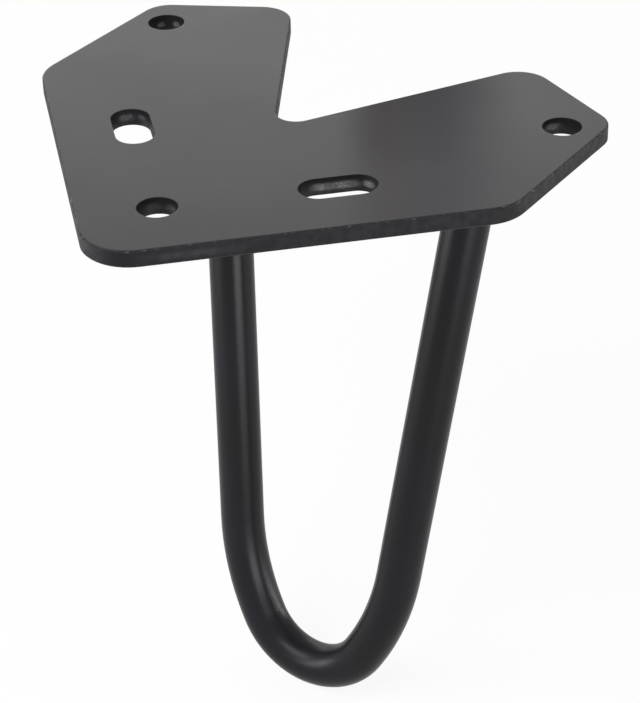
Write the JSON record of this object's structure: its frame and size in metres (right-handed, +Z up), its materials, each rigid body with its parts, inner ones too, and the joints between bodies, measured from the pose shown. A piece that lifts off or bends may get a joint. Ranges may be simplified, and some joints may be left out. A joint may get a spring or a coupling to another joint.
{
  "type": "hairpin table leg",
  "caption": "Hairpin table leg: a round steel bar bent to a leaning loop and welded under a V shaped plate with holes and slots for screws.",
  "frame": {"origin": "centre of the corner hole, on the mounting face that meets the table top", "axes": "+Z up out of the mounting face; the plate's two arms run along +X and +Y; the leg mirrors about the plane x = y"},
  "size_m": [0.1091, 0.1091, 0.15],
  "materials": {
    "black_powder_coat": "satin black powder coat on steel"
  },
  "bodies": {
    "root": {"mounting_plate": "black_powder_coat", "hairpin_rod": "black_powder_coat", "weld_bead_x_arm": "black_powder_coat", "weld_bead_y_arm": "black_powder_coat"}
  },
  "joints": []
}
